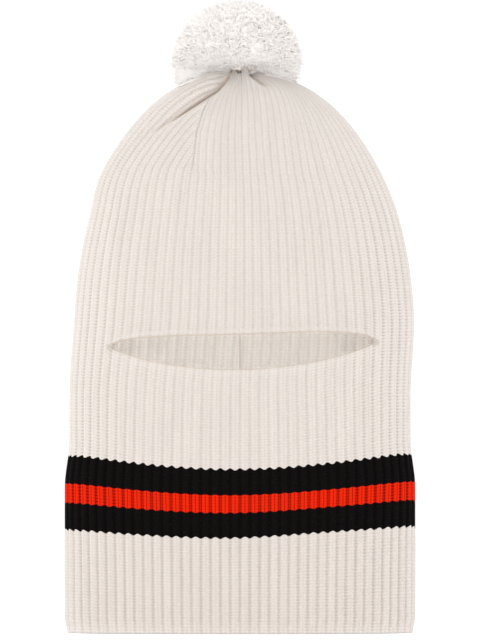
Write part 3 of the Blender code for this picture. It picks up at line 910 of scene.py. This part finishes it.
def pompom_strands(name, count, radius, seed, lowest, highest, spread, reach, drapes=False):
    """Cut yarn ends that fan out of the ball, rooted between two heights, given as shares of its radius.

    reach is the ends' mean length and its spread, as shares of the radius. Ends that drape hang down over
    the crown; the others stay above it."""
    rng = np.random.default_rng(seed)
    golden = math.pi * (3 - math.sqrt(5))
    k = np.arange(count) + 0.5
    up = highest - (highest - lowest) * k / count
    angle = golden * k + rng.normal(0, 0.08, count)
    flat = np.sqrt(np.clip(1 - up ** 2, 0, 1))
    root = np.stack([flat * np.cos(angle), flat * np.sin(angle), up], -1)
    direction = root + rng.normal(0, spread, (count, 3))
    direction /= np.linalg.norm(direction, axis=1, keepdims=True)
    share = np.linspace(0, 1, STRAND_RINGS)[None, :, None]
    # Uneven tufts, fuller at the sides than on top
    tuft = np.sin(5 * angle + 3 * up + 1) * np.sin(4 * up + 2 * angle)
    length = POMPOM_RADIUS * (reach[0] + 0.018 * tuft + rng.normal(0, reach[1], count) + 0.030 * flat ** 4)
    length = np.where(up > 0.6, np.minimum(length, POMPOM_RADIUS * 1.025), length)
    first = np.array(POMPOM_CENTRE) + root * 0.74 * POMPOM_RADIUS
    last = np.array(POMPOM_CENTRE) + direction * length[:, None]
    paths = first[:, None, :] + (last - first)[:, None, :] * share
    bend = rng.normal(0, 1, (count, 1, 3)) * share * (1 - share) * 0.007
    curl = rng.normal(0, 1, (count, 1, 3)) * share ** 3 * 0.0014
    paths = paths + bend + curl
    paths[..., 0] += POMPOM_SIDEWAYS
    uneven = rng.uniform(0, 0.005, (count, 1))
    x, y = paths[..., 0], paths[..., 1]
    floor = crown_surface(x) + CROWN_CLEARANCE
    if drapes:
        # Over the crown's shoulders the ends lie closer, and behind it they hang down
        floor = floor + (1.2 * uneven - 0.0032) * smooth_step(np.abs(x), 0.010, 0.020)
        floor = floor - HANG_BEHIND * smooth_step(y, 0, 0.012)
    else:
        floor = np.maximum(floor, RIM_HEIGHT + YARN_ABOVE_RIM) + uneven
    paths[..., 2] = np.maximum(paths[..., 2], floor)
    pressed(paths)
    if drapes:
        clear = crown_depth(x, paths[..., 2]) + 0.0006 + 0.2 * uneven
        clear = clear + 0.0020 * smooth_step(-x, 0.004, 0.020)
        paths[..., 1] = np.where(y < 0, np.minimum(y, -clear), np.maximum(y, clear))
    radii = radius * rng.uniform(0.75, 1.15, (count, 1)) * (1 - 0.3 * share[..., 0] ** 6)
    return strand_mesh(name, paths, radii, 4, pompom_wool)


ball = wool_ball("pompom_packed_yarn", 0.982 * POMPOM_RADIUS, RIM_HEIGHT + YARN_ABOVE_RIM, 1.0, 0.0030)
finish_piece(ball, "pompom", "pompom_yarn", "pompom_yarn")
pile = pompom_strands("pompom_yarn_pile", 9500, 0.00066, 11, LOW_YARN, 1.0, 0.06, (0.985, 0.008))
finish_piece(pile, "pompom", "pompom_yarn")
ends = pompom_strands("pompom_yarn_ends", 4200, 0.00046, 17, LOW_YARN, 1.0, 0.16, (1.01, 0.030))
finish_piece(ends, "pompom", "pompom_yarn")


def soft_between(piece):
    """Yarn pressed between the crown and the ball; only its transform is baked into its points."""
    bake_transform(piece)


low_ball = wool_ball("pompom_low_packed_yarn", 0.94 * POMPOM_RADIUS, 0, RIM_HEIGHT + 0.0050, -0.0010)
soft_between(low_ball)
low_ends = pompom_strands("pompom_low_yarn_ends", 3800, 0.00055, 13, -0.60, LOW_YARN + 0.10, 0.14,
                          (1.0, 0.025), drapes=True)
soft_between(low_ends)


# Cords, stitches and loose ends

PLIES = 2


def twisted(path, ply_radius, pitch):
    """The centre lines of plies twisted round a path."""
    path = np.asarray(path, float)
    reached = np.concatenate([[0], np.cumsum(np.linalg.norm(np.diff(path, axis=0), axis=1))])
    count = max(8, int(reached[-1] / pitch * 7))
    spots = np.linspace(0, reached[-1], count)
    line = np.stack([np.interp(spots, reached, path[:, i]) for i in range(3)], -1)
    side, other = cross_axes(line, 1)
    strands = []
    for ply in range(PLIES):
        turn = math.tau * (spots / pitch + ply / PLIES)
        around = np.cos(turn)[:, None] * side + np.sin(turn)[:, None] * other
        strands.append(line + ply_radius * around)
    return np.stack(strands)


def cord_piece(name, path, ply_radius, pitch, material, body, slot, *nodes):
    strands = twisted(path, ply_radius, pitch)
    piece = strand_mesh(name, strands, np.full(strands.shape[:2], 1.12 * ply_radius), 7, material)
    return finish_piece(piece, body, slot, *nodes)


def middle_of(name):
    """The middle of a CAD node's box, and half its size."""
    low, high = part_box(name)
    return np.array((low + high) / 2), np.array((high - low) / 2)


LOWER_LIP, UPPER_LIP = 0, 1
LINK_DROP = 0.0001
# The linking cords take the darker tan yarn: painted shade along the lips
for which, lip, ply_radius, pitch in ((LOWER_LIP, "lower", 0.00042, 0.0030),
                                      (UPPER_LIP, "upper", 0.00050, 0.0034)):
    lip_path = lips[which] * 0.6 + lip_faces[which] * 0.4
    lip_path[:, 2] -= LINK_DROP
    cord_piece(f"eye_opening_{lip}_linking", lip_path, ply_radius, pitch, link_yarn_painted_shade,
               "hood", "cream_binding", f"eye_opening_{lip}_binding")


TACK_STEP, TACK_REACH = 0.0007, 0.0021


def bar_tack(name, side, node_name):
    """Short stitches across the end of the eye opening."""
    ends = [lip_faces[which][0 if side < 0 else -1] for which in (LOWER_LIP, UPPER_LIP)]
    corner = (ends[0] + ends[1]) / 2
    rings, stitches = 5, 5
    share = np.linspace(-1, 1, rings)
    paths = []
    for i in range(stitches):
        x = corner[0] + side * TACK_STEP * (i - 1.5)
        bow = -0.0009 + 0.0011 * share ** 2
        paths.append(np.stack([np.full(rings, x), corner[1] + bow, corner[2] + TACK_REACH * share], -1))
    paths = np.array(paths)
    piece = strand_mesh(name, paths, np.full(paths.shape[:2], 0.00042), 6, cream_yarn)
    return finish_piece(piece, "hood", "cream_thread", node_name)


bar_tack("eye_corner_bar_tack_left", -1, "eye_corner_tack_left")
bar_tack("eye_corner_bar_tack_right", 1, "eye_corner_tack_right")


SEAM_INSET = 0.0047


def seam_path():
    """Up the inside of the back wall, clear of its ribs, as far as the CAD seam goes."""
    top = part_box("back_seam")[1][2]
    back = TABLE[:, 0]
    rising = back[(back[:, 2] > 0.001) & (back[:, 2] < top)][::4].copy()
    slope = np.gradient(rising[:, 1]) / np.gradient(rising[:, 2])
    flat = 1 / np.sqrt(1 + slope ** 2)
    rising[:, 1] -= SEAM_INSET * flat
    rising[:, 2] += SEAM_INSET * flat * slope
    return rising


# The seam's cord is darker than its cream thread: painted shade for the groove
cord_piece("back_seam_linking", seam_path(), 0.00020, 0.0030, seam_yarn_painted_shade,
           "hood", "cream_thread", "back_seam")
for tail, tint in (("lower_black", black_yarn), ("orange", orange_yarn), ("upper_black", black_yarn)):
    centre, half = middle_of(f"{tail}_yarn_tail")
    share = np.linspace(-1, 1, 12)
    line = np.stack([centre[0] + half[0] * share, centre[1] + 0 * share,
                     centre[2] + 0.0008 * np.sin(5 * share)], -1)
    cord_piece(f"{tail}_darned_yarn_end", line, 0.00045, 0.0026, tint, "hood",
               "orange_knit" if tail == "orange" else "black_knit", f"{tail}_yarn_tail")


GATHER_RADIUS, GATHER_RISE = 0.0071, 0.0016


def gather_stitches():
    """A running thread over and under the cloth round the crown's hole."""
    count, rings = 15, 8
    paths = []
    share = np.linspace(0, 1, rings)
    for i in range(count):
        start = math.tau * (i + 0.12) / count
        turn = start + math.tau * 0.76 / count * share
        over = np.sin(math.pi * share)
        reach = GATHER_RADIUS + GATHER_RISE * over
        paths.append(np.stack([0.5 * LEAN + reach * np.cos(turn), reach * np.sin(turn),
                               RIM_HEIGHT + 0.0004 + GATHER_RISE * over], -1))
    return np.array(paths)


# The gather thread is coloured tan: painted warm shade round the hole
loops = gather_stitches()
gather = strand_mesh("crown_gather_stitches", loops, np.full(loops.shape[:2], 0.0007), 6,
                     gather_yarn_painted_shade)
finish_piece(gather, "hood", "cream_thread", "crown_gather_thread")
declare_cloth()


def wound_ball(name, node_name, body, radius, seed):
    """A knot: turns of yarn wound in several directions over each other."""
    centre, half = middle_of(node_name)
    rng = np.random.default_rng(seed)
    size = float(np.min(half)) - radius
    paths = []
    for _ in range(7):
        axis = rng.normal(size=3)
        axis /= np.linalg.norm(axis)
        first = np.cross(axis, rng.normal(size=3))
        first /= np.linalg.norm(first)
        second = np.cross(axis, first)
        turn = np.linspace(0, math.tau, 15)
        shift = rng.uniform(-0.35, 0.35)
        ring = math.sqrt(1 - shift ** 2)
        around = np.cos(turn)[:, None] * first + np.sin(turn)[:, None] * second
        paths.append(centre + size * (ring * around + shift * axis))
    paths = np.array(paths)
    piece = strand_mesh(name, paths, np.full(paths.shape[:2], radius), 6, cream_yarn)
    return finish_piece(piece, body, "cream_thread", node_name)


wound_ball("pompom_tie_wound_knot", "pompom_tie_knot", "pompom_tie", 0.0008, 21)
wound_ball("pompom_inner_wound_knot", "pompom_inner_knot", "hood", 0.0009, 22)
cord_centre, cord_half = middle_of("pompom_tie_cord")
cord_line = [(cord_centre[0], cord_centre[1], cord_centre[2] + cord_half[2] * t)
             for t in np.linspace(-1, 1, 6)]
cord_piece("pompom_tie_yarn", cord_line, 0.00058, 0.0036, cream_yarn,
           "hood", "cream_thread", "pompom_tie_cord")
tie_centre, tie_half = middle_of("pompom_core_tie")
tie_turn = np.linspace(0, math.tau, 40)
tie_ring = tie_half[0] - 0.0011
tie_line = [(tie_centre[0] + tie_ring * math.cos(t), tie_centre[1] + tie_ring * math.sin(t), tie_centre[2])
            for t in tie_turn]
cord_piece("pompom_core_binding", tie_line, 0.0005, 0.0030, cream_yarn,
           "pompom", "cream_thread", "pompom_core_tie")


# Stage, light and camera

FLOOR_REACH, FLOOR_CURVE, RIM_TOP = 12.5, 1.0, 2.0
FLOOR_SIDES = 96
FLOOR_DROP = 0.0005


def dish(material):
    """A wide pale floor that turns up all round into a backdrop, beyond every camera on the hood."""
    section = [(FLOOR_REACH - 0.5, 0.0)]
    for angle in np.linspace(0, math.pi / 2, 13):
        section.append((FLOOR_REACH + FLOOR_CURVE * math.sin(angle), FLOOR_CURVE * (1 - math.cos(angle))))
    section.append((FLOOR_REACH + FLOOR_CURVE, RIM_TOP))
    sides = FLOOR_SIDES
    points = [(r * math.cos(math.tau * k / sides), r * math.sin(math.tau * k / sides), z - FLOOR_DROP)
              for r, z in section for k in range(sides)]
    faces = [tuple(range(sides))]
    for i in range(len(section) - 1):
        low, high = i * sides, (i + 1) * sides
        for k in range(sides):
            after = (k + 1) % sides
            faces.append((low + after, low + k, high + k, high + after))
    mesh = bpy.data.meshes.new("studio_floor")
    mesh.from_pydata(points, [], faces)
    mesh.shade_smooth()
    mesh.materials.append(material)
    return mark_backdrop(place_object("studio_floor", mesh))


dish(new_material("pale_paper", Base_Color=(0.93, 0.93, 0.93), Roughness=0.9, Emission_Color=(1, 1, 1),
                  Emission_Strength=0.28)[0])

world = bpy.data.worlds.new("studio")
world.use_nodes = True
world.node_tree.nodes["Background"].inputs["Color"].default_value = (1, 1, 1, 1)
world.node_tree.nodes["Background"].inputs["Strength"].default_value = 0.78
bpy.context.scene.world = world


def soft_light(name, place, target, size, power):
    lamp = bpy.data.lights.new(name, "AREA")
    lamp.shape = "RECTANGLE"
    lamp.size, lamp.size_y = size
    lamp.energy = power
    made = place_object(name, lamp)
    made.location = place
    made.rotation_euler = (Vector(target) - Vector(place)).to_track_quat("-Z", "Y").to_euler()
    made.visible_camera = False
    return made


middle = (0, 0, 0.23)
soft_light("key", (-0.7, -1.2, 1.8), middle, (1.4, 1.4), 8)
soft_light("top", (0, -0.3, 1.7), middle, (1.4, 1.4), 6)
soft_light("fill", (1.2, -1.6, 0.6), middle, (1.4, 1.4), 2)
soft_light("left_side", (-1.3, 0.15, 0.40), middle, (0.7, 1.0), 3.2)
soft_light("right_side", (1.3, 0.20, 0.40), middle, (0.7, 1.0), 2.6)
# The knit lets daylight through, and these stand in for it inside the hood
for height, name in ((EYE_HEIGHT - 0.045, "inside_glow_low"), (EYE_HEIGHT + 0.040, "inside_glow_high")):
    glow = soft_light(name, (0, -0.028, height), (0, 0.04, EYE_HEIGHT - 0.003), (0.165, 0.02), 0.0475)
    glow.data.color = (0.955, 0.995, 0.985)
for side, name in ((-1, "inside_glow_left"), (1, "inside_glow_right")):
    place, target = (0.072 * side, -0.012, EYE_HEIGHT - 0.03), (0.092 * side, 0.03, EYE_HEIGHT)
    soft_light(name, place, target, (0.02, 0.02), 0.0046)

SENSOR_WIDTH = 36
CAMERA_DISTANCE = 7.0
FRAME_HEIGHT = 0.4655
FRAME_BASE = -0.0058
camera_data = bpy.data.cameras.new("camera")
camera_data.sensor_width = SENSOR_WIDTH
camera_data.lens = SENSOR_WIDTH * CAMERA_DISTANCE / FRAME_HEIGHT
camera = place_object("camera", camera_data)
camera.location = (0, -CAMERA_DISTANCE, FRAME_BASE + FRAME_HEIGHT / 2)
camera.rotation_euler = (math.pi / 2, 0, 0)
bpy.context.scene.camera = camera
bpy.context.scene.view_settings.view_transform = "Standard"
